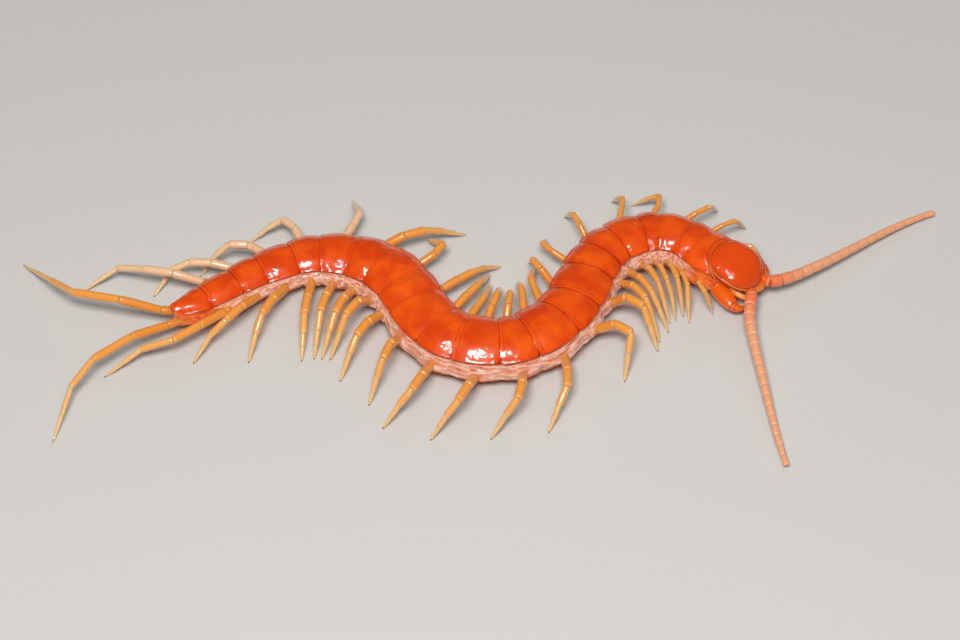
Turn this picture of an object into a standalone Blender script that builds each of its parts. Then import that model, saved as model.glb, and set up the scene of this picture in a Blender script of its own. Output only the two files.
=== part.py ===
"""Red forest centipede at life size, standing on a floor in an S-shaped walking pose.

The trunk lengths, head, antennae, fangs and 46 legs are separate solids. Sizes below are
in millimetres and degrees. The animal is laid out from its neck backwards: each trunk
segment has a length, a width and a heading, and each leg has the swing of its upper and
lower half and the height of its knee.
"""
import bpy
import bmesh
import math
from collections import namedtuple
from mathutils import Vector

MM = 0.001
GAP = 0.3
CUT = 0.4

# Swings are degrees from straight out sideways, positive towards the head. The knee is
# the height of the joint between femur and tibia. The toe is how much further the two
# tarsi swing than the tibia. The share is the leg's length against its pair's, and its
# thickness too where it is the shorter one.
Leg = namedtuple("Leg", "upper lower knee toe share", defaults=(0, 1.0))

# The heading is the way the body points at the front edge of the segment.
Segment = namedtuple("Segment", "length width heading left right")
SEGMENTS = [
    Segment(2.9, 4.5, -31, Leg(54, 86, 2.0, 0, 0.85), Leg(48, 111, 2.7)),
    Segment(1.4, 4.2, -43, Leg(32, 6, 2.5, 0, 0.94), Leg(57, 40, 2.5, 4)),
    Segment(2.2, 4.2, -32, Leg(50, 10, 2.6, 0, 0.96), Leg(36, 35, 2.9, -1)),
    Segment(1.4, 4.3, -3, Leg(39, -69, 2.2, 3, 0.90), Leg(11, 20, 2.9, -9)),
    Segment(2.5, 4.4, 14, Leg(39, -1, 2.6, 0, 0.85), Leg(1, 2, 3.0)),
    Segment(1.9, 4.5, 34, Leg(18, 25, 2.6, 0, 0.83), Leg(-11, -12, 2.8)),
    Segment(2.2, 4.6, 55, Leg(0, 79, 2.3, -13, 0.80), Leg(-21, -35, 2.9)),
    Segment(3.1, 4.9, 68, Leg(22, 65, 2.7, -8, 0.80), Leg(-2, -37, 3.3)),
    Segment(2.4, 4.9, 66, Leg(37, 65, 1.9, -1, 0.81), Leg(21, -68, 3.0)),
    Segment(3.4, 5.1, 48, Leg(34, 27, 2.3, 10, 0.80), Leg(-32, -65, 2.4)),
    Segment(2.3, 5.1, 28, Leg(25, 14, 2.7, -8, 0.83), Leg(-18, -62, 2.8)),
    Segment(3.3, 5.2, 3, Leg(14, -1, 2.4, -2, 0.87), Leg(-13, -40, 2.7)),
    Segment(2.2, 5.2, -18, Leg(1, -19, 1.9, -2, 0.83), Leg(9, -17, 2.6)),
    Segment(3.4, 5.1, -45, Leg(-12, -34, 2.2, -6, 0.91), Leg(35, 31, 3.0)),
    Segment(2.1, 5.1, -66, Leg(-3, -19, 2.0, 5, 0.93), Leg(28, 36, 2.6)),
    Segment(3.0, 5.1, -58, Leg(13, -86, 2.2, 18, 0.87), Leg(9, 18, 3.1, -3)),
    Segment(2.5, 4.8, -33, Leg(47, 41, 2.5, -1, 1.12), Leg(0, 3, 2.7)),
    Segment(2.6, 4.4, -15, Leg(24, -19, 2.0, 0, 0.93), Leg(-9, -3, 2.5)),
    Segment(2.3, 4.0, 2, Leg(-15, -92, 2.1, -4, 0.88), Leg(-20, -15, 2.2)),
    Segment(3.0, 3.7, 21, Leg(-55, -81, 2.8, -16, 0.96), Leg(-55, -45, 2.5, 3, 1.05)),
    Segment(2.4, 3.3, 28, Leg(-51, -65, 2.3, -44), Leg(-67, -87, 2.7, 14, 1.03)),
    Segment(2.9, 3.0, 35, Leg(-47, -34, 2.7, -42, 1.04), Leg(-81, -116, 2.4, 20, 1.08)),
    Segment(3.0, 2.6, 34, Leg(-62, -18, 3.3, 6, 1.02), Leg(-84, -62, 2.6, 19, 0.97)),
]
TAIL_HEADING = 26
COURSE_STEPS = 12

# Leg sizes grow from the first pair to the eighth, and again over the last three.
FRONT_LEG_SIZES = (0.66, 0.77, 0.83, 0.88, 0.92, 0.95, 0.96)
FRONT_LEG_GIRTHS = (0.50, 0.60, 0.65, 0.67, 0.72, 0.79, 0.86)
REAR_GIRTH = 0.93
REAR_LEG_SIZES = (1.10, 1.50, 2.00)
LEG_LINKS = (2.15, 1.60, 1.75, 2.30)
LAST_LEG_LINKS = (4.4, 3.9, 3.1, 5.0)
LAST_HIP_SPREAD = 0.56
LEG_SIDES = 6
FOOT_RADIUS = 0.11

# Trunk lengths, each a run of segments counted from 1.
TRUNK_RUNS = ((1, 3), (4, 6), (7, 9), (10, 12), (13, 15), (16, 18), (19, 21), (22, 23))

# Height of the plate edges above the floor, and how it falls towards the tail.
EDGE_HEIGHT = 3.1
TAIL_FALL = 0.05
TAIL_STARTS = 15
EDGE_DEPTH = 0.33

# One half of the trunk's cross-section: share of half width, share of depth.
PLATE_PROFILE = ((0.36, 0.03), (0.68, 0.11), (0.90, 0.22), (1.0, EDGE_DEPTH), (0.93, 0.41))
FLANK_PROFILE = ((1.05, 0.62), (1.04, 0.90), (0.68, 0.99))
HIP_SHARE = 1.045
COXA_DEPTH = 0.77

# Along one segment: place, share of width of the plate, its sink, share of the flank.
PLATE_STATIONS = (
    (0.03, 0.90, 0.20, 0.90),
    (0.18, 0.96, 0.04, 0.95),
    (0.50, 1.00, 0.00, 1.00),
    (0.85, 0.99, 0.00, 0.97),
    (0.97, 0.95, 0.03, 0.91),
)
TAIL_TAPER = 0.42

# Head plate, laid out from the neck forwards.
HEAD_HEADING = -32
HEAD_WIDTH = 4.5
HEAD_BACK = 1.3
HEAD_FRONT = 3.3
COLLAR_BOW = 2.05

ANTENNA_ARTICLES = 17
ANTENNA_BASE_RADIUS = 0.54
ANTENNA_TIP_RADIUS = 0.24
ANTENNA_TIP_HEIGHT = 0.5
ANTENNA_SIDES = 6

RED = (0.80, 0.075, 0.008)
DEEP_RED = (0.62, 0.045, 0.008)
AMBER = (0.72, 0.25, 0.045)
PEACH = (0.70, 0.19, 0.06)


def lerp(a, b, t):
    return a + (b - a) * t


def turned(angle, length=1.0):
    """Flat vector of a length that points along a compass angle."""
    return Vector((math.cos(math.radians(angle)), math.sin(math.radians(angle)), 0)) * length


def clear_scene():
    for old in list(bpy.data.objects):
        bpy.data.objects.remove(old, do_unlink=True)


def make_material(name, colour, roughness):
    material = bpy.data.materials.new(name)
    material.use_nodes = True
    shader = material.node_tree.nodes["Principled BSDF"]
    shader.inputs["Base Color"].default_value = (*colour, 1)
    shader.inputs["Roughness"].default_value = roughness
    return material


def heading_at(index, t):
    """Heading inside a segment, counted from 0, at a share of its length."""
    start = SEGMENTS[index].heading
    last = index == len(SEGMENTS) - 1
    end = TAIL_HEADING if last else SEGMENTS[index + 1].heading
    return lerp(start, end, t)


def walk(index, start, t):
    """Point at a share of a segment's length behind its front edge."""
    point = start.copy()
    for step in range(COURSE_STEPS):
        share = (step + 0.5) / COURSE_STEPS * t
        point -= turned(heading_at(index, share), SEGMENTS[index].length * t / COURSE_STEPS)
    return point


def front_edges():
    """Points on the floor under the middle of each segment's front edge."""
    points = [Vector((0, 0, 0))]
    for index in range(len(SEGMENTS)):
        points.append(walk(index, points[-1], 1.0))
    return points


def edge_height(index):
    return EDGE_HEIGHT - TAIL_FALL * max(0, index - TAIL_STARTS)


def depth(index):
    """Height of the trunk from belly to back."""
    return 0.70 + 0.48 * SEGMENTS[index].width


def back_height(index):
    return edge_height(index) + EDGE_DEPTH * depth(index)


def ring_faces(bm, lower, upper):
    count = len(lower)
    for k in range(count):
        nxt = (k + 1) % count
        bm.faces.new((lower[k], lower[nxt], upper[nxt], upper[k]))


def add_ring(bm, points):
    return [bm.verts.new(point) for point in points]


def cap_fan(bm, ring, centre, flip):
    middle = bm.verts.new(centre)
    for k in range(len(ring)):
        pair = (ring[k], ring[(k + 1) % len(ring)])
        bm.faces.new((pair[1], pair[0], middle) if flip else (pair[0], pair[1], middle))


def finish_object(bm, name, material, parent, place=(0, 0, 0), heading=0.0):
    """Turn a mesh laid out in millimetres into a named object at its place."""
    bmesh.ops.recalc_face_normals(bm, faces=bm.faces)
    bmesh.ops.scale(bm, vec=(MM, MM, MM), verts=bm.verts)
    mesh = bpy.data.meshes.new(name)
    bm.to_mesh(mesh)
    bm.free()
    mesh.materials.append(material)
    mesh.shade_smooth()
    mesh.set_sharp_from_angle(angle=math.radians(40))
    obj = bpy.data.objects.new(name, mesh)
    obj.location = Vector(place) * MM
    obj.rotation_euler = (0, 0, math.radians(heading))
    obj.parent = parent
    bpy.context.collection.objects.link(obj)
    return obj


def trunk_ring(index, start, station, bow=0.0):
    """Cross-section of the trunk, with its plate raised over the soft flanks."""
    t, plate, sink, flank = station
    segment = SEGMENTS[index]
    middle = walk(index, start, t)
    heading = heading_at(index, t)
    ahead = turned(heading)
    left = turned(heading + 90)
    taper = 1.0
    if index == len(SEGMENTS) - 1:
        taper = 1 - TAIL_TAPER * t
    half = segment.width / 2 * taper
    tall = depth(index)
    top = back_height(index) - sink

    def at(share, low, width):
        lateral = share * half * width
        lag = bow * max(0.0, 1 - share * share)
        return middle + left * lateral - ahead * lag + Vector((0, 0, top - low * tall))

    side = [(share, low, plate) for share, low in PLATE_PROFILE]
    side += [(share, low, flank) for share, low in FLANK_PROFILE]
    points = [at(0, 0, plate)]
    points += [at(share, low, width) for share, low, width in side]
    belly = middle + Vector((0, 0, back_height(index) - tall))
    points.append(belly)
    points += [at(-share, low, width) for share, low, width in reversed(side)]
    return points


def trunk_run(name, first, last, edges, material, parent):
    """One length of the trunk: the rings of its segments joined into a closed solid."""
    bm = bmesh.new()
    rings = []
    for index in range(first - 1, last):
        margin = CUT / 2 / SEGMENTS[index].length
        for place, plate, sink, flank in PLATE_STATIONS:
            bow = 0.0
            if index == 0:
                bow = COLLAR_BOW * max(0.0, 1 - place / 0.6)
            t = place
            if index == first - 1 and place == PLATE_STATIONS[0][0]:
                t = margin
            if index == last - 1 and place == PLATE_STATIONS[-1][0]:
                t = 1 - margin
            points = trunk_ring(index, edges[index], (t, plate, sink, flank), bow)
            rings.append(add_ring(bm, points))
    for front, rear in zip(rings, rings[1:]):
        ring_faces(bm, front, rear)
    for ring, flip in ((rings[0], True), (rings[-1], False)):
        total = Vector((0, 0, 0))
        for vert in ring:
            total += vert.co
        cap_fan(bm, ring, total / len(ring), flip)
    return finish_object(bm, name, material, parent)


def leg_size(number):
    """Size of a pair of legs against the tallest ones, counted from 1."""
    if number <= len(FRONT_LEG_SIZES):
        return FRONT_LEG_SIZES[number - 1]
    rear = number - 1 - (len(SEGMENTS) - len(REAR_LEG_SIZES))
    if rear >= 0:
        return REAR_LEG_SIZES[rear]
    return 1.0


def tube(centres, radii, sides, start_side):
    """Rings round a path, each square to it; the first and last stay as given."""
    rings = []
    across = Vector(start_side)
    for k, (centre, radius) in enumerate(zip(centres, radii)):
        before = centres[max(k - 1, 0)]
        after = centres[min(k + 1, len(centres) - 1)]
        along = (after - before).normalized()
        across = (across - along * across.dot(along)).normalized()
        upright = along.cross(across)
        points = []
        for j in range(sides):
            angle = 2 * math.pi * j / sides
            points.append(centre + (across * math.cos(angle) + upright * math.sin(angle)) * radius)
        rings.append(points)
    return rings


def close_tube(bm, rings):
    made = [add_ring(bm, points) for points in rings]
    for lower, upper in zip(made, made[1:]):
        ring_faces(bm, lower, upper)
    bm.faces.new(made[0])
    bm.faces.new(list(reversed(made[-1])))


# Rings of a leg: link counted from 0, share of the link, radius at size 1.
LEG_RINGS = (
    (0, 0.28, 0.42), (0, 0.40, 0.38), (0, 0.70, 0.46), (0, 0.96, 0.43),
    (1, 0.14, 0.38), (1, 0.85, 0.40), (2, 0.12, 0.31), (2, 0.88, 0.33),
    (3, 0.08, 0.26), (3, 0.55, 0.23), (3, 0.90, 0.15),
)
LEG_ROOT_RADIUS = 0.40
THINNEST_LEG_RADIUS = 0.23
THIN_TIP_STARTS = 0.3


def leg_girth(number):
    """Thickness of a pair of legs against the thickest ones, counted from 1."""
    if number <= len(FRONT_LEG_GIRTHS):
        return FRONT_LEG_GIRTHS[number - 1]
    if number > len(SEGMENTS) - len(REAR_LEG_SIZES):
        return REAR_GIRTH
    return 1.0


def hip_place(number, side, edges):
    """Where a leg leaves the trunk, the way its root faces, and the heading there."""
    index = number - 1
    if number == len(SEGMENTS):
        heading = heading_at(index, 1.0)
        place = edges[-1] + turned(heading + 90 * side, LAST_HIP_SPREAD)
        return place, heading + 180, heading
    heading = heading_at(index, 0.5)
    outward = heading + 90 * side
    half = SEGMENTS[index].width / 2 * HIP_SHARE
    return walk(index, edges[index], 0.5) + turned(outward, half), outward, heading


def pose_of(number, side):
    return SEGMENTS[number - 1].left if side > 0 else SEGMENTS[number - 1].right


def leg_joints(number, side, facing, heading, hip_height):
    """Joints of a leg from hip to foot, seen from its hip with x along its root."""
    pose = pose_of(number, side)
    size = leg_size(number) * pose.share
    lengths = [length * size for length in LEG_LINKS]
    if number == len(SEGMENTS):
        lengths = [length * pose.share for length in LAST_LEG_LINKS]

    def swing(angle):
        return turned(heading + side * (90 - angle) - facing)

    knee = pose.knee - hip_height
    rise = knee + 0.05 * size
    reach = math.sqrt(lengths[0] ** 2 - rise ** 2)
    joints = [Vector((0, 0, 0))]
    joints.append(swing(pose.upper) * reach + Vector((0, 0, rise)))
    femur = swing(pose.upper + 0.25 * (pose.lower - pose.upper)) * lengths[1]
    joints.append(joints[1] + femur)
    joints[2].z = knee
    shin = lengths[2] + lengths[3]
    fall = pose.knee - 0.15
    level = math.sqrt(shin ** 2 - fall ** 2) / shin
    ankle = joints[2] + swing(pose.lower) * lengths[2] * level
    ankle.z = knee - fall * lengths[2] / shin + 0.12 * size
    foot = ankle + swing(pose.lower + pose.toe) * lengths[3] * level
    foot.z = -hip_height
    return joints + [ankle, foot]


def leg(number, side, edges, material, parent):
    """One leg, from its hip at the flank to a small flat foot on the floor."""
    index = number - 1
    thick = leg_girth(number) * min(pose_of(number, side).share, 1.0)
    place, facing, heading = hip_place(number, side, edges)
    hip_height = back_height(index) - COXA_DEPTH * depth(index)
    joints = leg_joints(number, side, facing, heading, hip_height)
    root = Vector((GAP, 0, 0))
    centres = [root]
    radii = [LEG_ROOT_RADIUS * thick]
    for link, share, radius in LEG_RINGS:
        start = root if link == 0 else joints[link]
        centres.append(start.lerp(joints[link + 1], share))
        at_tip = link == len(LEG_LINKS) - 1 and share > THIN_TIP_STARTS
        radii.append(radius * thick if at_tip else max(radius * thick, THINNEST_LEG_RADIUS))
    centres[1] = root + Vector((0.45 * thick, 0, 0)) + joints[1] * 0.08
    centres.append(joints[-1])
    radii.append(FOOT_RADIUS)
    rings = tube(centres, radii, LEG_SIDES, (0, 1, 0))
    for k in range(LEG_SIDES):
        angle = 2 * math.pi * k / LEG_SIDES
        rings[0][k] = root + Vector((0, math.cos(angle), math.sin(angle))) * radii[0]
        rings[-1][k].z = -hip_height
    bm = bmesh.new()
    close_tube(bm, rings)
    name = "leg_%s_%02d" % ("left" if side > 0 else "right", number)
    hip = place + Vector((0, 0, hip_height))
    return finish_object(bm, name, material, parent, hip, facing)


# Head cross-sections: place ahead of the neck, back height, edge height, belly height.
HEAD_STATIONS = (
    (-1.28, 3.98, 3.80, 3.66), (-1.0, 4.06, 3.66, 3.45), (-0.3, 4.12, 3.42, 2.80),
    (0.5, 4.10, 3.20, 2.15), (1.3, 3.92, 3.00, 2.10), (2.0, 3.62, 2.80, 2.05),
    (2.7, 3.18, 2.55, 1.75), (3.1, 2.82, 2.35, 1.55), (3.28, 2.50, 2.25, 1.75),
)
HEAD_PROFILE = ((0.50, 0.10), (0.83, 0.42), (1.0, 1.0))


def head_half_width(place):
    """Half width of the oval head plate at a place ahead of the neck."""
    centre = (HEAD_FRONT - HEAD_BACK) / 2
    reach = (HEAD_FRONT + HEAD_BACK) / 2
    share = min(abs(place - centre) / reach, 0.97)
    return HEAD_WIDTH / 2 * (1 - share ** 2.4) ** (1 / 2.4)


def head(material, parent):
    bm = bmesh.new()
    rings = []
    for place, back, edge, belly in HEAD_STATIONS:
        half = head_half_width(place)
        side = [(share * half, back - fall * (back - edge)) for share, fall in HEAD_PROFILE]
        side.append((0.92 * half, lerp(edge, belly, 0.35)))
        side.append((0.62 * half, lerp(edge, belly, 0.9)))
        points = [(0, back)] + side + [(0, belly)] + [(-y, z) for y, z in reversed(side)]
        rings.append(add_ring(bm, [Vector((place, y, z)) for y, z in points]))
    for front, rear in zip(rings, rings[1:]):
        ring_faces(bm, front, rear)
    bm.faces.new(rings[0])
    bm.faces.new(list(reversed(rings[-1])))
    return finish_object(bm, "head", material, parent, (0, 0, 0), HEAD_HEADING)


def forcipular_plate(material, parent):
    """The flat breastplate under the head that carries the two fangs."""
    bm = bmesh.new()
    outline = ((0.35, 1.00), (1.1, 1.20), (1.9, 1.10), (2.35, 0.7))
    rings = []
    for place, half in outline:
        bottom = 0.95 + 0.08 * place
        top = 1.75 - 0.12 * place
        points = [(half * 0.8, top), (half, lerp(top, bottom, 0.5)), (half * 0.75, bottom)]
        points += [(-y, z) for y, z in reversed(points)]
        rings.append(add_ring(bm, [Vector((place, y, z)) for y, z in points]))
    for front, rear in zip(rings, rings[1:]):
        ring_faces(bm, front, rear)
    bm.faces.new(rings[0])
    bm.faces.new(list(reversed(rings[-1])))
    return finish_object(bm, "forcipular_plate", material, parent, (0, 0, 0), HEAD_HEADING)


# Fang path from its root: place ahead of the neck, distance from the middle, height, radius.
FANG_PATH = (
    (0.28, 1.82, 1.44, 0.48), (0.55, 2.00, 1.42, 0.60), (1.00, 2.20, 1.40, 0.66),
    (1.50, 2.42, 1.36, 0.64), (1.95, 2.58, 1.30, 0.55), (2.35, 2.64, 1.22, 0.43),
    (2.68, 2.50, 1.13, 0.32), (2.86, 2.24, 1.05, 0.21), (2.90, 1.96, 0.99, 0.10),
)
FANG_SIDES = 8
# How much a fang closes: the left one is drawn in under the head from this place on.
FANG_TUCK = {"left": 0.32, "right": 0.0}
TUCK_STARTS = 1.0


def fang(side, material, parent):
    name = "left" if side > 0 else "right"
    centres = []
    radii = []
    for place, out, height, radius in FANG_PATH:
        drawn = FANG_TUCK[name] * max(0.0, place - TUCK_STARTS)
        centres.append(Vector((place, side * (out - drawn), height)))
        radii.append(radius)
    bm = bmesh.new()
    close_tube(bm, tube(centres, radii, FANG_SIDES, (0, 0, 1)))
    return finish_object(bm, "forcipule_" + name, material, parent, (0, 0, 0), HEAD_HEADING)


# Root of each antenna: place ahead of the neck, place to the left, height.
ANTENNA_ROOTS = {"left": (3.78, 0.62, 2.15), "right": (3.26, -1.55, 2.15)}
# Way each antenna points: distance along it, compass angle. The last row is its tip.
ANTENNA_WAYS = {
    "left": ((0.0, 14), (1.2, 24), (2.5, 32), (5.0, 35), (8.0, 37), (11.0, 36), (14.0, 32), (17.3, 22)),
    "right": ((0.0, -101), (1.2, -97), (2.6, -85), (5.0, -81), (9.0, -81), (13.0, -80), (16.7, -76)),
}


def way_at(ways, distance):
    for (start, from_way), (end, to_way) in zip(ways, ways[1:]):
        if distance <= end:
            return lerp(from_way, to_way, (distance - start) / (end - start))
    return ways[-1][1]


def antenna(name, material, parent):
    """A string of beads that curves from the front of the head down to near the floor."""
    ahead, left, height = ANTENNA_ROOTS[name]
    root = turned(HEAD_HEADING, ahead) + turned(HEAD_HEADING + 90, left)
    ways = ANTENNA_WAYS[name]
    step = ways[-1][0] / ANTENNA_ARTICLES / 10
    spine = [root.copy()]
    for k in range(ANTENNA_ARTICLES * 10):
        spine.append(spine[-1] + turned(way_at(ways, k * step), step))
    centres = []
    radii = []
    for article in range(ANTENNA_ARTICLES):
        for share, swell in ((0.0, 0.80), (0.3, 1.0), (0.85, 1.0)):
            t = (article + share) / ANTENNA_ARTICLES
            centres.append(spine[round(t * ANTENNA_ARTICLES * 10)].copy())
            centres[-1].z = lerp(ANTENNA_TIP_HEIGHT, height, (1 - t) ** 1.4)
            radii.append(lerp(ANTENNA_BASE_RADIUS, ANTENNA_TIP_RADIUS, t ** 0.8) * swell)
    centres.append(spine[-1].copy())
    centres[-1].z = ANTENNA_TIP_HEIGHT
    radii.append(ANTENNA_TIP_RADIUS * 0.7)
    bm = bmesh.new()
    close_tube(bm, tube(centres, radii, ANTENNA_SIDES, (0, 0, 1)))
    return finish_object(bm, "antenna_" + name, material, parent)


def centre_on_floor(parent, made):
    """Move the whole animal so that its box stands on the origin."""
    bpy.context.view_layer.update()
    corners = [obj.matrix_world @ vert.co for obj in made for vert in obj.data.vertices]
    for axis in (0, 1):
        values = [corner[axis] for corner in corners]
        parent.location[axis] -= (min(values) + max(values)) / 2
    bpy.context.view_layer.update()


def main():
    clear_scene()
    parent = bpy.data.objects.new("centipede", None)
    bpy.context.collection.objects.link(parent)
    plate = make_material("glossy_red_plate", RED, 0.22)
    dark_plate = make_material("deep_red_fang", DEEP_RED, 0.25)
    amber = make_material("amber_leg", AMBER, 0.3)
    peach = make_material("peach_antenna", PEACH, 0.4)
    edges = front_edges()
    made = [head(plate, parent), forcipular_plate(plate, parent)]
    for side, name in ((1, "left"), (-1, "right")):
        made.append(fang(side, dark_plate, parent))
        made.append(antenna(name, peach, parent))
    for number, (first, last) in enumerate(TRUNK_RUNS, 1):
        made.append(trunk_run("trunk_%d" % number, first, last, edges, plate, parent))
    for number in range(1, len(SEGMENTS) + 1):
        for side in (1, -1):
            made.append(leg(number, side, edges, amber, parent))
    centre_on_floor(parent, made)


main()
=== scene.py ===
# %% [markdown]
# # A red forest centipede at life size
# The animal is 62 mm long and walks in an S-shaped curve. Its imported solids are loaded
# first, because every new piece has to lie where they lie. The new pieces give it what
# such plain solids can't: overlapping back plates, soft folded flanks, and legs and
# feelers made link by link.

# %% Load the frame
import math
from collections import namedtuple

import bmesh
import bpy
from mathutils import Matrix, Vector, noise


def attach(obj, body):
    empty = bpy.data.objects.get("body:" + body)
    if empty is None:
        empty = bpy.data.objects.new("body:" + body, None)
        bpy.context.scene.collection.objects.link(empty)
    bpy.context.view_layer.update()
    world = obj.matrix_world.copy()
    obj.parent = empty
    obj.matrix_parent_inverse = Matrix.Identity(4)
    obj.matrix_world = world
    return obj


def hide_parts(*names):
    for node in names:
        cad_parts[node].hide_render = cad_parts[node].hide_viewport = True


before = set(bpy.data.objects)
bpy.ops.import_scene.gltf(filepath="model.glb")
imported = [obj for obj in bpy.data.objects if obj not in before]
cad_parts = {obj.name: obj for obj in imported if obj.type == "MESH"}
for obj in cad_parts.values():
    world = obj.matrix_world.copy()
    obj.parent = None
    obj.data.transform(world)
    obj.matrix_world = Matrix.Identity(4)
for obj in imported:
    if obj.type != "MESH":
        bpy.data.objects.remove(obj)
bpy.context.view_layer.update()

# %% [markdown]
# ## The plan of the body
# A centipede is one row of segments, each with a back plate and a pair of legs, so the
# whole pose fits in one table. Each row has the segment's length, its width, the way it
# points, and how its two legs swing. Sizes are in millimetres and degrees, since 2.9 mm is
# easier to picture than 0.0029 m. The finished mesh is scaled once.

# %% The table of segments
MM = 0.001
NECK = Vector((20.5125, 5.0114, 0))

Leg = namedtuple("Leg", "upper lower knee toe share", defaults=(0, 1.0))
Segment = namedtuple("Segment", "length width heading left right")
SEGMENTS = [
    Segment(2.9, 4.5, -31, Leg(54, 86, 2.0, 0, 0.85), Leg(48, 111, 2.7)),
    Segment(1.4, 4.2, -43, Leg(32, 6, 2.5, 0, 0.94), Leg(57, 40, 2.5, 4)),
    Segment(2.2, 4.2, -32, Leg(50, 10, 2.6, 0, 0.96), Leg(36, 35, 2.9, -1)),
    Segment(1.4, 4.3, -3, Leg(39, -69, 2.2, 3, 0.90), Leg(11, 20, 2.9, -9)),
    Segment(2.5, 4.4, 14, Leg(39, -1, 2.6, 0, 0.85), Leg(1, 2, 3.0)),
    Segment(1.9, 4.5, 34, Leg(18, 25, 2.6, 0, 0.83), Leg(-11, -12, 2.8)),
    Segment(2.2, 4.6, 55, Leg(0, 79, 2.3, -13, 0.80), Leg(-21, -35, 2.9)),
    Segment(3.1, 4.9, 68, Leg(22, 65, 2.7, -8, 0.80), Leg(-2, -37, 3.3)),
    Segment(2.4, 4.9, 66, Leg(37, 65, 1.9, -1, 0.81), Leg(21, -68, 3.0)),
    Segment(3.4, 5.1, 48, Leg(34, 27, 2.3, 10, 0.80), Leg(-32, -65, 2.4)),
    Segment(2.3, 5.1, 28, Leg(25, 14, 2.7, -8, 0.83), Leg(-18, -62, 2.8)),
    Segment(3.3, 5.2, 3, Leg(14, -1, 2.4, -2, 0.87), Leg(-13, -40, 2.7)),
    Segment(2.2, 5.2, -18, Leg(1, -19, 1.9, -2, 0.83), Leg(9, -17, 2.6)),
    Segment(3.4, 5.1, -45, Leg(-12, -34, 2.2, -6, 0.91), Leg(35, 31, 3.0)),
    Segment(2.1, 5.1, -66, Leg(-3, -19, 2.0, 5, 0.93), Leg(28, 36, 2.6)),
    Segment(3.0, 5.1, -58, Leg(13, -86, 2.2, 18, 0.87), Leg(9, 18, 3.1, -3)),
    Segment(2.5, 4.8, -33, Leg(47, 41, 2.5, -1, 1.12), Leg(0, 3, 2.7)),
    Segment(2.6, 4.4, -15, Leg(24, -19, 2.0, 0, 0.93), Leg(-9, -3, 2.5)),
    Segment(2.3, 4.0, 2, Leg(-15, -92, 2.1, -4, 0.88), Leg(-20, -15, 2.2)),
    Segment(3.0, 3.7, 21, Leg(-55, -81, 2.8, -16, 0.96), Leg(-55, -45, 2.5, 3, 1.05)),
    Segment(2.4, 3.3, 28, Leg(-51, -65, 2.3, -44), Leg(-67, -87, 2.7, 14, 1.03)),
    Segment(2.9, 3.0, 35, Leg(-47, -34, 2.7, -42, 1.04), Leg(-81, -116, 2.4, 20, 1.08)),
    Segment(3.0, 2.6, 34, Leg(-62, -18, 3.3, 6, 1.02), Leg(-84, -62, 2.6, 19, 0.97)),
]
TAIL_HEADING = 26
HEAD_HEADING = -32
HEAD_WIDTH = 4.5
HEAD_BACK = 1.3
HEAD_FRONT = 3.3
HEAD_MIDDLE = (HEAD_FRONT - HEAD_BACK) / 2
HEAD_REACH = (HEAD_FRONT + HEAD_BACK) / 2
OVAL = 2.4
LAST = len(SEGMENTS) - 1
print(len(SEGMENTS), "segments,", round(sum(row.length for row in SEGMENTS), 1), "mm")

# %% [markdown]
# ## Small helpers for numbers
# These few functions are used by every piece: a straight blend, a soft step, a vector
# that points along a compass angle, and a smooth curve through the rows of a table.

# %% Blends, steps and tables


def lerp(a, b, t):
    return a + (b - a) * t


def soft_step(low, high, value):
    t = min(max((value - low) / (high - low), 0.0), 1.0)
    return t * t * (3 - 2 * t)


def bump(value, middle, reach):
    """A smooth hill of height 1 round a middle."""
    return math.exp(-(((value - middle) / reach) ** 2))


def turned(angle, length=1.0):
    return Vector((math.cos(math.radians(angle)), math.sin(math.radians(angle)), 0)) * length


def smooth_row(table, place):
    """Row at a place along a table, smoothly through its rows. Column 0 is the place."""
    place = min(max(place, table[0][0]), table[-1][0])
    k = 0
    while k < len(table) - 2 and place > table[k + 1][0]:
        k += 1
    here, there = table[k], table[k + 1]
    before, after = table[max(k - 1, 0)], table[min(k + 2, len(table) - 1)]
    span = there[0] - here[0]
    t = (place - here[0]) / span
    row = []
    for column in range(1, len(here)):
        leave = (there[column] - before[column]) / (there[0] - before[0]) * span
        reach = (after[column] - here[column]) / (after[0] - here[0]) * span
        value = (2 * t**3 - 3 * t**2 + 1) * here[column] + (t**3 - 2 * t**2 + t) * leave
        value += (3 * t**2 - 2 * t**3) * there[column] + (t**3 - t**2) * reach
        row.append(value)
    return row


print("halfway up the soft step:", soft_step(0, 1, 0.5))

# %% [markdown]
# ## The course
# The body lies on a curved line that starts at the neck. Walking along it in short steps
# gives a point and a heading for any place, where place 3.5 means the middle of the
# fourth segment. The trunk's width and height are read the same way, so that neighbouring
# segments run into each other without a step.

# %% Walk along the body
STEPS = 24


def heading_at(index, t):
    end = TAIL_HEADING if index == LAST else SEGMENTS[index + 1].heading
    return lerp(SEGMENTS[index].heading, end, t)


def lay_course():
    """Point and heading at every step, from the neck to the tail."""
    rows = []
    point = NECK.copy()
    for index, segment in enumerate(SEGMENTS):
        for step in range(STEPS):
            rows.append((point.copy(), heading_at(index, step / STEPS)))
            point -= turned(heading_at(index, (step + 0.5) / STEPS), segment.length / STEPS)
    rows.append((point, TAIL_HEADING))
    return rows


COURSE = lay_course()


def on_course(place):
    """Point on the floor under the middle of the body, and the heading there."""
    step = place * STEPS
    base = min(max(int(math.floor(step)), 0), len(COURSE) - 2)
    share = step - base
    (here, heading), (there, next_heading) = COURSE[base], COURSE[base + 1]
    point = here + (there - here) * share
    return point, lerp(heading, next_heading, min(max(share, 0.0), 1.0))


EDGE_HEIGHT = 3.1
EDGE_DEPTH = 0.33
TAIL_FALL = 0.05
TAIL_STARTS = 15
TAIL_WIDTH = 1.5


def trunk_depth(width):
    """Depth from back to belly: a wider segment is also a deeper one."""
    return 0.70 + 0.48 * width


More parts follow.
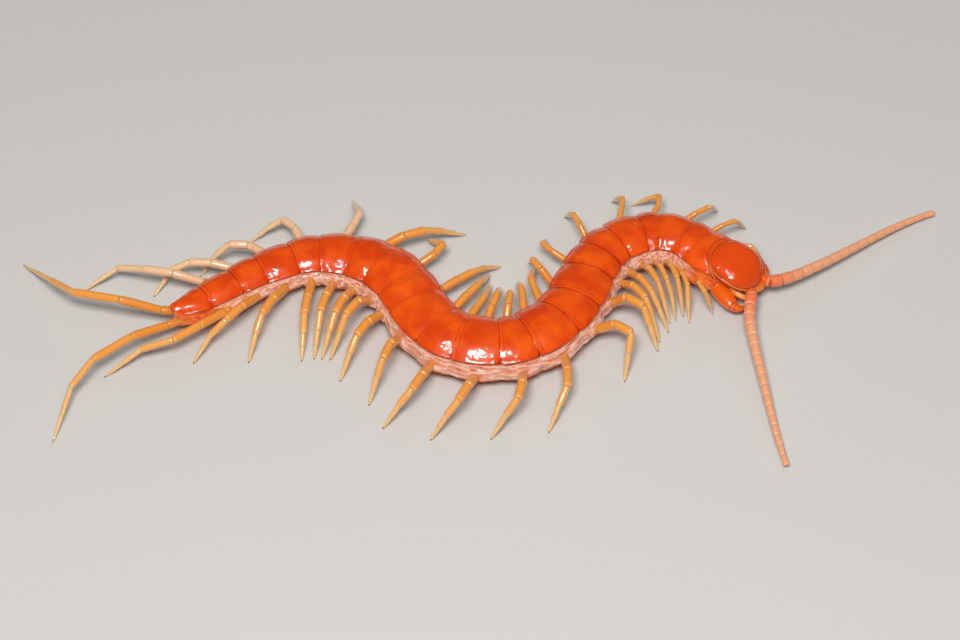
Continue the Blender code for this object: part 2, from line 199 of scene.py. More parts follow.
def trunk_size(place):
    """Half width, depth from back to belly, and height of the back."""
    step = min(max(place - 0.5, 0.0), float(LAST))
    base = min(int(step), LAST - 1)
    width = lerp(SEGMENTS[base].width, SEGMENTS[base + 1].width, step - base)
    deep = trunk_depth(width)
    if place > LAST:
        narrow = (SEGMENTS[LAST].width + SEGMENTS[LAST - 1].width) / 2
        width = lerp(narrow, TAIL_WIDTH, soft_step(LAST, LAST + 1.1, place))
    edge = EDGE_HEIGHT - TAIL_FALL * max(0.0, place - 0.5 - TAIL_STARTS)
    return width / 2, deep, edge + EDGE_DEPTH * deep


def carried(place, across, height):
    """Point of the body at a place, so many millimetres to the left and above the floor."""
    middle, heading = on_course(place)
    return middle + turned(heading + 90, across) + Vector((0, 0, height))


print("tail ends at", [round(value, 1) for value in COURSE[-1][0]])

# %% [markdown]
# ## Colours and nodes
# Colours are written as the hex values that a screen shows. Blender's shader counts
# light, so one function turns them to linear values. A second one adds a node, sets it
# and links it, which keeps each material short enough to read as a recipe. The last one
# makes a surface wavy, with the waves' spacing and height given in millimetres.

# %% Helpers for materials


def linear(code):
    """Linear colour of a hex value such as #E8430A."""
    values = [int(code[k : k + 2], 16) / 255 for k in (1, 3, 5)]
    return [v / 12.92 if v <= 0.04045 else ((v + 0.055) / 1.055) ** 2.4 for v in values] + [1.0]


def add_node(tree, kind, inputs=None, stops=(), **settings):
    """Add a node. Inputs are values or the outputs of other nodes; stops are for a ramp."""
    node = tree.nodes.new(kind)
    for name, value in settings.items():
        setattr(node, name, value)
    for name, value in (inputs or {}).items():
        if isinstance(value, bpy.types.NodeSocket):
            tree.links.new(value, node.inputs[name])
        else:
            node.inputs[name].default_value = value
    for number, (position, code) in enumerate(stops):
        points = node.color_ramp.elements
        point = points[number] if number < len(points) else points.new(position)
        point.position = position
        point.color = linear(code)
    return node


def new_tree(name):
    """The empty node tree of a new material."""
    material = bpy.data.materials.new(name)
    material.use_nodes = True
    material.node_tree.nodes.clear()
    return material, material.node_tree


def finish_shader(tree, inputs):
    shader = add_node(tree, "ShaderNodeBsdfPrincipled", inputs)
    add_node(tree, "ShaderNodeOutputMaterial", {"Surface": shader.outputs["BSDF"]})


def waves(tree, place, apart, height, detail=2.0):
    """Normal of a surface with fine waves, with their spacing and height in millimetres."""
    inputs = {"Vector": place, "Scale": 1 / (apart * MM), "Detail": detail}
    noisy = add_node(tree, "ShaderNodeTexNoise", inputs)
    inputs = {"Height": noisy.outputs["Fac"], "Distance": height * MM, "Strength": 1.0}
    return add_node(tree, "ShaderNodeBump", inputs).outputs["Normal"]


print("bright orange red in linear light:", [round(v, 3) for v in linear("#E8430A")])

# %% [markdown]
# ## Back plate cuticle
# The back plates are hard chitin with a layer of wax, so they look wet: a clear coat over
# an orange-red that light enters a little way. The colour is cloudy in patches of about
# 1.7 mm. The wax lies in faint waves that tear the edges of the highlights. The real ones
# are a few hundredths of a millimetre apart, too fine to show here, so they are drawn
# 0.6 mm apart. The plate's own map runs across in X and from front to rear in Y. A ramp
# along Y darkens the front strip, which slides under the next plate, with painted shade,
# and paints fine lines of shade in the groove before the rear rim and at the rim's edge.
# A ramp across paints a faint line of shade in the groove beside the margin. The first
# plate also has a dark line behind the head, which an attribute of its mesh draws.

# %% Material of the back plates
MIX_FACTOR, MIX_FIRST, MIX_SECOND, MIX_RESULT = 0, 6, 7, 2
WHITE, MARGIN_SHADE_PINK, LINE_BROWN = "#FFFFFF", "#E0BCB0", "#7A2404"
CLOUD_SIZE = 1.667


def waxed_red_chitin():
    material, tree = new_tree("waxed_red_chitin")
    place = add_node(tree, "ShaderNodeTexCoord").outputs["Object"]
    inputs = {"Vector": place, "Scale": 1 / (CLOUD_SIZE * MM), "Detail": 3.0}
    clouds = add_node(tree, "ShaderNodeTexNoise", inputs)
    stops = ((0.34, "#DE3E02"), (0.66, "#FA5808"))
    red = add_node(tree, "ShaderNodeValToRGB", {"Fac": clouds.outputs["Fac"]}, stops)
    chart = add_node(tree, "ShaderNodeUVMap", uv_map="plate").outputs["UV"]
    parts = add_node(tree, "ShaderNodeSeparateXYZ", {"Vector": chart}).outputs
    # Painted shade: the front strip under the plate ahead, a fine line in the groove before the
    # rear rim, and the rim's edge.
    stops = (
        (0.03, "#A05848"), (0.10, WHITE), (0.88, WHITE), (0.895, "#D8A898"),
        (0.91, WHITE), (0.975, WHITE), (0.995, "#B86A58"),
    )
    along = add_node(tree, "ShaderNodeValToRGB", {"Fac": parts["Y"]}, stops)
    centre = add_node(tree, "ShaderNodeMath", {0: parts["X"], 1: 0.5}, operation="SUBTRACT")
    aside = add_node(tree, "ShaderNodeMath", {0: centre.outputs[0]}, operation="ABSOLUTE")
    # Painted shade: a faint line in the groove beside the margin.
    stops = ((0.462, WHITE), (0.472, MARGIN_SHADE_PINK), (0.482, WHITE))
    across = add_node(tree, "ShaderNodeValToRGB", {"Fac": aside.outputs[0]}, stops)
    colour = red.outputs["Color"]
    for tint in (along, across):
        inputs = {MIX_FACTOR: 1.0, MIX_FIRST: colour, MIX_SECOND: tint.outputs["Color"]}
        laid = add_node(tree, "ShaderNodeMix", inputs, data_type="RGBA", blend_type="MULTIPLY")
        colour = laid.outputs[MIX_RESULT]
    line = add_node(tree, "ShaderNodeAttribute", attribute_name="line").outputs["Fac"]
    inputs = {MIX_FACTOR: line, MIX_FIRST: colour, MIX_SECOND: linear(LINE_BROWN)}
    lined = add_node(tree, "ShaderNodeMix", inputs, data_type="RGBA")
    inputs = {
        "Base Color": lined.outputs[MIX_RESULT],
        "Roughness": 0.34,
        "Specular IOR Level": 0.2,
        "Subsurface Weight": 0.25,
        "Subsurface Radius": (1.0, 0.25, 0.08),
        "Subsurface Scale": 0.5 * MM,
        "Coat Weight": 1.0,
        "Coat IOR": 1.45,
        "Coat Roughness": 0.04,
        "Normal": waves(tree, place, 0.714, 0.01),
        "Coat Normal": waves(tree, place, 0.588, 0.10, 1.0),
    }
    finish_shader(tree, inputs)
    return material


BACK_CHITIN = waxed_red_chitin()
print("made", BACK_CHITIN.name)

# %% [markdown]
# ## Skin of the flanks
# Between the back plates and the legs the animal has no armour, only a wet, pale pink
# skin in folds, with small orange platelets in it. Light goes further into it than into
# chitin. Where the platelets lie is known when the mesh is made, so the mesh carries
# that as an attribute, and the material only reads it. Off the flanks the skin is armour
# coloured all over, which a second attribute tells. A third holds the height of the folds:
# its crests are painted paler, as painted highlight, and its hollows darker, as painted
# shade. The wet film glints in waves drawn 0.4 mm apart, coarser than the real ones.

# %% Material of the flanks
SKIN_LAYERS = ("platelet", "bare", "ridge")
BLOTCH_SIZE = 1.111


def wet_flank_skin():
    material, tree = new_tree("wet_flank_skin")
    place = add_node(tree, "ShaderNodeTexCoord").outputs["Object"]
    platelet, bare, ridge = (
        add_node(tree, "ShaderNodeAttribute", attribute_name=name).outputs["Fac"]
        for name in SKIN_LAYERS
    )
    # Painted light on the folds: paler pink on the crests as painted highlight, darker in the
    # hollows as painted shade.
    stops = ((0.25, "#DA9076"), (0.60, "#E9AA92"), (0.95, "#F6CEBE"))
    pink = add_node(tree, "ShaderNodeValToRGB", {"Fac": ridge}, stops).outputs["Color"]
    inputs = {"Vector": place, "Scale": 1 / (BLOTCH_SIZE * MM), "Detail": 4.0}
    blotch = add_node(tree, "ShaderNodeTexNoise", inputs)
    stops = ((0.36, "#DC5210"), (0.64, "#F28430"))
    ramp = add_node(tree, "ShaderNodeValToRGB", {"Fac": blotch.outputs["Fac"]}, stops)
    armour = ramp.outputs["Color"]
    limits = {"Value": platelet, "From Min": 0.35, "From Max": 0.6}
    edge = add_node(tree, "ShaderNodeMapRange", limits, interpolation_type="SMOOTHSTEP")
    inputs = {MIX_FACTOR: edge.outputs["Result"], MIX_FIRST: pink, MIX_SECOND: armour}
    dotted = add_node(tree, "ShaderNodeMix", inputs, data_type="RGBA")
    inputs = {MIX_FACTOR: bare, MIX_FIRST: armour, MIX_SECOND: dotted.outputs[MIX_RESULT]}
    colour = add_node(tree, "ShaderNodeMix", inputs, data_type="RGBA")
    inputs = {
        "Base Color": colour.outputs[MIX_RESULT],
        "Roughness": 0.38,
        "IOR": 1.45,
        "Subsurface Weight": 0.45,
        "Subsurface Radius": (1.0, 0.4, 0.25),
        "Subsurface Scale": 0.7 * MM,
        "Coat Weight": 1.0,
        "Coat Roughness": 0.08,
        "Normal": waves(tree, place, 0.556, 0.04),
        "Coat Normal": waves(tree, place, 0.4167, 0.14, 1.5),
    }
    finish_shader(tree, inputs)
    return material


FLANK_SKIN = wet_flank_skin()
print("made", FLANK_SKIN.name)

# %% [markdown]
# ## Limb cuticle
# Legs, feelers and fangs are thin tubes of chitin that light shines into. Their meshes
# carry four attributes: "warm" tells the orange legs from the pale ones near the tail,
# "pale" grows towards the feet and at the joints, and on the head plate is a painted
# highlight along the lip, "dark" marks claws, and the fourth is painted shade, laid into
# the lines between hard parts and into hollows. One recipe serves legs, feelers, fangs
# and head. The feelers' fine down is far too small to show, so a duller and thinner coat
# stands for it. As on the back, the coat's waves are coarser than the real ones: 0.56 mm
# apart.

# %% Material of the limbs
LIMB_LAYERS = ("warm", "pale", "painted_shade", "dark")
# SHADOW is the colour of the painted shade; CLAW_BROWN is the claws' own colour.
SHADOW, CLAW_BROWN = "#8E2A04", "#3A1206"


def clear_limb_chitin(name, cool, warm, far, rough, coat=1.0, torn=0.02):
    material, tree = new_tree(name)
    place = add_node(tree, "ShaderNodeTexCoord").outputs["Object"]
    colour = linear(cool)
    for layer, code in zip(LIMB_LAYERS, (warm, far, SHADOW, CLAW_BROWN)):
        amount = add_node(tree, "ShaderNodeAttribute", attribute_name=layer).outputs["Fac"]
        inputs = {MIX_FACTOR: amount, MIX_FIRST: colour, MIX_SECOND: linear(code)}
        laid = add_node(tree, "ShaderNodeMix", inputs, data_type="RGBA")
        colour = laid.outputs[MIX_RESULT]
    inputs = {
        "Base Color": colour,
        "Roughness": rough,
        "Subsurface Weight": 0.4,
        "Subsurface Radius": (1.0, 0.5, 0.2),
        "Subsurface Scale": 0.5 * MM,
        "Coat Weight": coat,
        "Coat IOR": 1.45,
        "Coat Roughness": 0.06,
        "Specular IOR Level": 0.25,
        "Normal": waves(tree, place, 0.4545, 0.01),
        "Coat Normal": waves(tree, place, 0.5556, torn, 1.0),
    }
    finish_shader(tree, inputs)
    return material


LEG_CHITIN = clear_limb_chitin("amber_leg_chitin", "#E8C09C", "#E8943A", "#F0CC90", 0.35)
FEELER_CHITIN = clear_limb_chitin(
    "downy_peach_chitin", "#E6A276", "#E8641C", "#F8D0B8", 0.5, coat=0.6
)
FANG_CHITIN = clear_limb_chitin("red_fang_chitin", "#E8600E", "#E86A1C", "#EE9A50", 0.3)
HEAD_CHITIN = clear_limb_chitin(
    "waxed_head_chitin", "#E84A06", "#E86A1C", "#EE9A50", 0.32, torn=0.18
)
print("made", LEG_CHITIN.name, FEELER_CHITIN.name, FANG_CHITIN.name, HEAD_CHITIN.name)

# %% [markdown]
# ## From a mesh to a piece
# Every piece ends the same way. Doubled points are merged, the faces are turned outwards,
# and millimetres become metres. Then the piece rides on the body of the imported model,
# takes a finish slot, and hides the plain solids that it stands for.

# %% Finish a piece


def new_layers(bm, names):
    return [bm.verts.layers.float.new(name) for name in names]


def set_attribute(bm, name, value_at):
    layer = bm.verts.layers.float.get(name) or bm.verts.layers.float.new(name)
    for vert in bm.verts:
        vert[layer] = value_at(vert)


def set_tones(bm, tones):
    """Give a whole piece one look. The tones are warm, pale, painted shade and dark."""
    for name, value in zip(LIMB_LAYERS, tones):
        set_attribute(bm, name, lambda vert: value)


def new_object(name, data):
    thing = bpy.data.objects.new(name, data)
    bpy.context.collection.objects.link(thing)
    return thing


def finish_piece(bm, name, material, stands_for=()):
    bmesh.ops.remove_doubles(bm, verts=bm.verts, dist=0.0005)
    bmesh.ops.recalc_face_normals(bm, faces=bm.faces)
    bmesh.ops.scale(bm, vec=(MM, MM, MM), verts=bm.verts)
    mesh = bpy.data.meshes.new(name)
    bm.to_mesh(mesh)
    bm.free()
    mesh.materials.append(material)
    mesh.shade_smooth()
    piece = new_object(name, mesh)
    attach(piece, "root")
    if stands_for:
        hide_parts(*stands_for)
    return piece


def add_to(whole, part):
    """Put the mesh of one bmesh into another, and let the first go."""
    bmesh.ops.recalc_face_normals(part, faces=part.faces)
    carrier = bpy.data.meshes.new("carrier")
    part.to_mesh(carrier)
    part.free()
    whole.from_mesh(carrier)
    bpy.data.meshes.remove(carrier)


print("pieces end in metres, one unit here is", MM, "m")

# %% [markdown]
# ## The trunk's skin
# One skin runs from the head to the tail. It could be lofted ring by ring along the
# curve, but it is easier to make a straight tube first and bend it afterwards. A circle
# is extruded upwards step by step. Then each point is carried to the animal: its height
# in the tube says how far along the body it is, and its angle says how far round.

# %% A straight tube


def straight_tube(rows, sides):
    """Tube of radius 1 that stands on the origin, with a row of faces for each millimetre."""
    bm = bmesh.new()
    bmesh.ops.create_circle(bm, segments=sides, radius=1.0)
    edges = list(bm.edges)
    for _ in range(rows):
        grown = bmesh.ops.extrude_edge_only(bm, edges=edges)["geom"]
        points = [item for item in grown if isinstance(item, bmesh.types.BMVert)]
        edges = [item for item in grown if isinstance(item, bmesh.types.BMEdge)]
        edges = [edge for edge in edges if all(vert in points for vert in edge.verts)]
        bmesh.ops.translate(bm, verts=points, vec=(0, 0, 1))
    bmesh.ops.holes_fill(bm, edges=[edge for edge in bm.edges if edge.is_boundary])
    return bm


sample = straight_tube(2, 8)
print("a tube of 2 rows and 8 sides has", len(sample.faces), "faces")
sample.free()

# %% [markdown]
# ## Folds and platelets
# The half section below goes from the middle of the back round to the middle of the
# belly. Under the plates the skin lies a little lower than they do. On the flank it
# bulges where a leg is rooted, is pinched between segments, and has long fine folds.

# %% Shape of the skin
# Share of the half section, share of the half width outwards, share of the depth down.
SKIN_HALF = (
    (0.00, 0.00, 0.06), (0.12, 0.36, 0.09), (0.22, 0.64, 0.17), (0.30, 0.82, 0.28),
    (0.36, 0.90, 0.37), (0.42, 0.97, 0.46), (0.50, 1.06, 0.58), (0.58, 1.11, 0.73),
    (0.66, 1.06, 0.87), (0.76, 0.86, 0.97), (0.86, 0.48, 1.00), (1.00, 0.00, 1.00),
)
# Platelets: share of the segment, share of the half section, and how far each reaches.
PLATELETS = (
    (0.28, 0.428, 0.16, 0.009), (0.72, 0.436, 0.15, 0.008), (0.50, 0.462, 0.13, 0.007),
    (0.14, 0.500, 0.05, 0.016), (0.84, 0.505, 0.06, 0.014), (0.40, 0.515, 0.05, 0.010),
)
HIP_SHARE = 0.60


def on_flank(part):
    return soft_step(0.33, 0.42, part) * (1 - soft_step(0.70, 0.82, part))


def platelet_at(place, part):
    """How much a platelet covers the skin here, from 0 to 1."""
    t = place % 1.0
    cover = 0.0
    for along, round_body, long, tall in PLATELETS:
        wobble = 1 + 0.25 * noise.noise(Vector((place * 9, part * 60, along * 50)))
        away = ((t - along) / long) ** 2 + ((part - round_body) / tall) ** 2
        cover = max(cover, 1 - soft_step(0.6, 1.4, away * wobble))
    ragged = 0.035 * noise.noise(Vector((place * 17, part * 25, 6.0)))
    low_edge = 0.61 - 0.06 * bump(t, 0.5, 0.2)
    cover = max(cover, soft_step(low_edge, low_edge + 0.04, part + ragged))
    return cover * on_flank(part)


def ridge_at(place, part, side):
    """Height of the web of fine folds, from 0 in a hollow to 1 on a crest."""
    along = place * 2.6
    wide = noise.noise(Vector((along * 0.9, part * 15, side * 3.0)))
    fine = noise.noise(Vector((along * 2.1, part * 34, side * 9.0)))
    return 1 - 0.7 * min(1.0, abs(wide) * 2.2) - 0.3 * min(1.0, abs(fine) * 2.2)


def skin_point(place, angle):
    half, deep, top = trunk_size(place)
    part = abs(angle) / math.pi
    side = 1 if angle >= 0 else -1
    share, low = smooth_row(SKIN_HALF, part)
    t = place % 1.0
    from_seam = min(t, 1 - t)
    low += 0.05 * (1 - soft_step(0.2, 0.4, part)) * bump(from_seam, 0.0, 0.15)
    out = 0.20 * (ridge_at(place, part, side) - 0.6) - 0.11 * bump(from_seam, 0.0, 0.10)
    out += 0.17 * bump(t, 0.5, 0.24) * bump(part, HIP_SHARE, 0.09)
    out += 0.045 * platelet_at(place, part)
    out *= on_flank(part)
    belly_fold = 0.05 * bump(from_seam, 0.0, 0.08) * soft_step(0.7, 0.8, part)
    across = side * (share * half + out)
    sunk = low * deep + 0.35 * out * soft_step(0.5, 0.8, part) - belly_fold
    return carried(place, across, top - sunk)


print("a platelet covers", round(platelet_at(3.24, 0.455), 2), "of the skin at its middle")

# %% Make the skin
ROWS_PER_SEGMENT = 24
SKIN_SIDES = 112
TAIL_END = LAST + 1.0
# Places between which the flanks are pale: behind the neck, and before the tail.
PALE_FROM, PALE_TO = (0.5, 0.9), (21.5, 22.2)
TRUNK_NODES = ["trunk_%d" % number for number in range(1, 9)]


def trunk_skin():
    rows = round(TAIL_END * ROWS_PER_SEGMENT)
    bm = straight_tube(rows, SKIN_SIDES)
    platelet, bare, ridge = new_layers(bm, SKIN_LAYERS)
    for vert in bm.verts:
        place = vert.co.z / ROWS_PER_SEGMENT
        angle = math.atan2(vert.co.y, vert.co.x)
        part = abs(angle) / math.pi
        vert[platelet] = platelet_at(place, part)
        ends = soft_step(*PALE_FROM, place) * (1 - soft_step(*PALE_TO, place))
        vert[bare] = on_flank(part) * ends
        vert[ridge] = ridge_at(place, part, 1 if angle >= 0 else -1)
        vert.co = skin_point(place, angle)
    return finish_piece(bm, "trunk_skin", FLANK_SKIN, TRUNK_NODES)


skin = trunk_skin()
print("trunk skin:", len(skin.data.polygons), "faces")

# %% [markdown]
# ## Back plates
# A plate is cut flat and then bent over the back, as a smith would do. It starts as a
# grid, whose lines are pushed towards the edges, where the shape is busiest. Solidify
# gives it a thickness and a bevel rounds its rim. Only then is each point carried to the
# body. The front of each plate is sunk, so the plate ahead of it lies over it.

# %% Cut a flat plate


def flat_plate(columns, rows, thick):
    """Plate of 2 by 2, its lines crowded towards its edges, with a rounded rim."""
    bm = bmesh.new()
    bmesh.ops.create_grid(bm, x_segments=columns, y_segments=rows, size=1.0)
    for vert in bm.verts:
        vert.co.x = math.sin(vert.co.x * math.pi / 2)
        vert.co.y = math.sin(vert.co.y * math.pi / 2) * 0.7 + vert.co.y * 0.3
    bmesh.ops.solidify(bm, geom=bm.faces[:], thickness=thick)
    bmesh.ops.recalc_face_normals(bm, faces=bm.faces)
    rim = [edge for edge in bm.edges if edge.calc_face_angle(0.0) > 1.0]
    bmesh.ops.bevel(
        bm, geom=rim, offset=thick * 0.3, segments=2, profile=0.5, affect="EDGES", material=-1
    )
    return bm


sample = flat_plate(8, 8, 0.08)
heights = [vert.co.z for vert in sample.verts]
print("flat plate from", round(min(heights), 3), "to", round(max(heights), 3), "mm thick")
sample.free()

# %% Bend it over the back
PLATE_THICK = 0.06
# Share of the segment, share of the plate's full width, how far the plate is sunk.
PLATE_RUN = (
    (-0.12, 0.880, 0.20), (0.02, 0.935, 0.10), (0.12, 0.968, 0.035), (0.30, 0.992, -0.025),
    (0.55, 1.005, -0.055), (0.80, 1.000, -0.03), (0.95, 0.985, 0.015), (1.07, 0.965, 0.035),
)


def head_share(point):
    """How far out a point lies from the middle of the head, 1 at the head plate's rim."""
    flat = point - NECK
    ahead = flat.dot(turned(HEAD_HEADING)) - HEAD_MIDDLE
    across = flat.dot(turned(HEAD_HEADING + 90))
    out = abs(ahead / HEAD_REACH) ** OVAL + abs(across / (HEAD_WIDTH / 2)) ** OVAL
    return out ** (1 / OVAL)


def back_point(index, u, v):
    """Point on the outside of a back plate, u across from -1 to 1, v from front to rear."""
    front = -0.10 + 0.15 * abs(u) ** 9
    rear = 1.055 - 0.06 * abs(u) ** 8 - 0.012 * (1 - u * u)
    if index == LAST:
        rear = 1.08 - 0.30 * abs(u) ** 3
    t = lerp(front, rear, (v + 1) / 2)
    width, sink = smooth_row(PLATE_RUN, t)
    half, deep, top = trunk_size(index + t)
    share = abs(u)
    low = EDGE_DEPTH * share**2.5
    rise = 0.035 * bump(share, 0.978, 0.025) - 0.015 * bump(share, 0.92, 0.025)
    rise += 0.02 * bump(t, rear - 0.015, 0.02) - 0.012 * bump(t, rear - 0.12, 0.02)
    dents = 0.05 * noise.noise(Vector((index * 7.3 + t * 2.4, u * 2.2, 1.7)))
    dents += 0.025 * noise.noise(Vector((index * 5.1 + t * 7, u * 7, 4.2)))
    point = carried(index + t, u * half * width, top - sink - low * deep + rise + dents)
    if index == 0:
        point.z -= 0.32 * (1 - soft_step(0.93, 1.10, head_share(point)))
    return point


def bend_plate(bm, surface):
    """Carry a flat plate to a surface, with its thickness along the surface's normal."""
    chart = bm.loops.layers.uv.new("plate")
    for face in bm.faces:
        for loop in face.loops:
            loop[chart].uv = (loop.vert.co.x / 2 + 0.5, loop.vert.co.y / 2 + 0.5)
    top = max(vert.co.z for vert in bm.verts)
    for vert in bm.verts:
        u, v, height = vert.co.x, vert.co.y, vert.co.z - top
        here = surface(u, v)
        step = 0.01
        across = surface(u + step, v) - surface(u - step, v)
        along = surface(u, v - step) - surface(u, v + step)
        vert.co = here + along.cross(across).normalized() * height


def body_plate(name, columns, rows, surface, line=lambda vert: 0.0):
    bm = flat_plate(columns, rows, PLATE_THICK)
    bend_plate(bm, surface)
    set_attribute(bm, "line", line)
    return finish_piece(bm, name, BACK_CHITIN)


def head_line(vert):
    """Darkness of the line that the first plate has behind the head."""
    return 0.75 * bump(head_share(vert.co), 1.09, 0.014)


def back_plate(index):
    name = "back_plate_%02d" % (index + 1)
    if index == 0:
        return body_plate(name, 64, 60, lambda u, v: back_point(index, u, v), head_line)
    return body_plate(name, 30, 26, lambda u, v: back_point(index, u, v))


plates = [back_plate(index) for index in range(len(SEGMENTS))]
print(len(plates), "back plates of", len(plates[0].data.polygons), "faces")

# %% [markdown]
# ## Belly plates
# Underneath, each segment has one flat plate between its legs. It is cut like a back
# plate, but smaller, and bent to the belly instead.

# %% Belly plates


def belly_point(index, u, v):
    t = 0.5 + v * lerp(0.40, 0.34, abs(u) ** 3)
    half, deep, top = trunk_size(index + t)
    across = u * half * 0.60 * (1 - 0.10 * v * v)
    curve = 0.014 * deep * abs(u) ** 3
    middle_line = 0.02 * bump(u, 0.0, 0.06)
    floor_side = top - deep - 0.065
    return carried(index + t, across, floor_side + curve + middle_line)


def belly_plate(index):
    name = "belly_plate_%02d" % (index + 1)
    return body_plate(name, 12, 12, lambda u, v: belly_point(index, -u, v))


bellies = [belly_plate(index) for index in range(LAST + 1)]
print(len(bellies), "belly plates")

# %% [markdown]
# ## One link of a limb
# Legs and feelers are strings of links, and each link is nearly round. That is a job for
# the lathe: a half outline of a few points is spun about its axis. The outline has a thin
# neck that sits in the link before it, a swelling towards the far end, and a rounded lip.
# The link is then turned and moved to lie between two joints. How it looks goes into the
# four attributes that the limbs' material reads.

# %% Turn a link on the lathe
# Share of the link's length, share of its radius.
LINK_OUTLINE = (
    (0.00, 0.00), (0.00, 0.74), (0.015, 0.86), (0.04, 0.91), (0.10, 0.94), (0.30, 0.97),
    (0.60, 1.00), (0.82, 1.02), (0.92, 1.01), (0.975, 0.97), (0.995, 0.92),
)
# Beyond its length a link ends in a dome: share of its end radius outwards and onwards.
LINK_DOME = ((0.80, 0.10), (0.50, 0.22), (0.0, 0.30))


def turned_link(length, near, far, sides):
    """A link of a length, spun on the upright axis, with a radius at each end."""
    bm = bmesh.new()
    points = []
    for share, width in LINK_OUTLINE:
        points.append(bm.verts.new((lerp(near, far, share) * width, 0, share * length)))
    for width, onward in LINK_DOME:
        points.append(bm.verts.new((width * far, 0, length + onward * far)))
    for lower, upper in zip(points, points[1:]):
        bm.edges.new((lower, upper))
    bmesh.ops.spin(
        bm, geom=bm.verts[:] + bm.edges[:], cent=(0, 0, 0), axis=(0, 0, 1),
        angle=2 * math.pi, steps=sides, use_merge=True,
    )
    bmesh.ops.remove_doubles(bm, verts=bm.verts, dist=0.0002)
    return bm


def lay_link(bm, start, end):
    turn = (end - start).to_track_quat("Z", "X").to_matrix().to_4x4()
    bmesh.ops.transform(bm, matrix=Matrix.Translation(start) @ turn, verts=bm.verts)


# The tone is how orange a link is on its back and on its belly. The others are how pale
# and how dark it is, how much its lip shines, and how much painted shade it has where it
# lies in shadow.
Look = namedtuple("Look", "tone pale dark lip shadow", defaults=(0.0, 0.0, 0.6, 0.0))
ORANGE = (1.0, 1.0)


def add_link(whole, start, end, radii, look, sides=16):
    """Add a link to a limb, with a radius at its start and its end."""
    near, far = radii
    length = (end - start).length
    bm = turned_link(length, near, far, sides)
    lip_reach = 0.16 * far / length

    def paleness(vert):
        at_lip = bump(vert.co.z / length, 0.99, lip_reach)
        return min(1.0, look.pale + 0.5 * at_lip * look.lip)

    # Painted shade: the look's own shade, and more at the link's start, where it sits in the link
    # before it.
    def shadow(vert):
        return look.shadow + 0.2 * (1 - soft_step(0.0, 0.2 * near, vert.co.z))

    def warmth(vert):
        return lerp(look.tone[1], look.tone[0], soft_step(0.1, 0.9, vert.normal.z))

    set_attribute(bm, "pale", paleness)
    set_attribute(bm, "painted_shade", shadow)
    set_attribute(bm, "dark", lambda vert: look.dark)
    lay_link(bm, start, end)
    bm.normal_update()
    set_attribute(bm, "warm", warmth)
    add_to(whole, bm)


whole = bmesh.new()
add_link(whole, Vector((0, 0, 0)), Vector((0, 0, 2)), (0.4, 0.5), Look(ORANGE))
print("one link has", len(whole.faces), "faces")
whole.free()

# %% [markdown]
# ## Legs
# A walking leg has a root link, two thick upper links, a slimmer shin, and a foot of two
# parts that ends in a claw. The joints are worked out the way a puppet's are: the hip is
# on the flank, the knee is given, and the foot reaches the floor. The last pair is longer,
# trails behind the body, and has two spines under its upper link.

# %% Joints of a leg
FRONT_LEG_SIZES = (0.66, 0.77, 0.83, 0.88, 0.92, 0.95, 0.96)
FRONT_LEG_GIRTHS = (0.50, 0.60, 0.65, 0.67, 0.72, 0.79, 0.86)
REAR_GIRTH = 0.93
REAR_LEG_SIZES = (1.10, 1.50, 2.00)
LEG_LINKS = (2.15, 1.60, 1.75, 2.30)
LAST_LEG_LINKS = (4.4, 3.9, 3.1, 5.0)
LAST_HIP_SPREAD = 0.56
HIP_REACH = 1.045
THINNEST = 0.22
HIP_DEPTH = 0.77
# How far a leg's root goes back along the leg, into the body, and up.
ROOT_BACK, ROOT_INWARD, ROOT_UP = 0.3, 0.35, 0.15
HIP_LIFT, ANKLE_LIFT, SOLE_HEIGHT, CLAW_HEIGHT = 0.05, 0.12, 0.15, 0.02
KNEE_SHARE = 0.25


def leg_measure(number):
    """Size and girth of a pair of legs, counted from 1."""
    if number <= len(FRONT_LEG_SIZES):
        return FRONT_LEG_SIZES[number - 1], FRONT_LEG_GIRTHS[number - 1]
    rear = number - 1 - (LAST + 1 - len(REAR_LEG_SIZES))
    return (REAR_LEG_SIZES[rear], REAR_GIRTH) if rear >= 0 else (1.0, 1.0)


def hip_of(number, side):
    """Where a leg is rooted, the way its root faces, and the body's heading there."""
    index = number - 1
    deep = trunk_depth(SEGMENTS[index].width)
    edge = EDGE_HEIGHT - TAIL_FALL * max(0, index - TAIL_STARTS)
    lift = Vector((0, 0, edge + (EDGE_DEPTH - HIP_DEPTH) * deep))
    if index == LAST:
        heading = heading_at(index, 1.0)
        hip = COURSE[-1][0] + turned(heading + 90 * side, LAST_HIP_SPREAD) + lift
        return hip, heading + 180, heading
    middle, heading = on_course(index + 0.5)
    outward = heading + 90 * side
    half = SEGMENTS[index].width / 2 * HIP_REACH
    return middle + turned(outward, half) + lift, outward, heading


def pose_of(number, side):
    return SEGMENTS[number - 1].left if side > 0 else SEGMENTS[number - 1].right


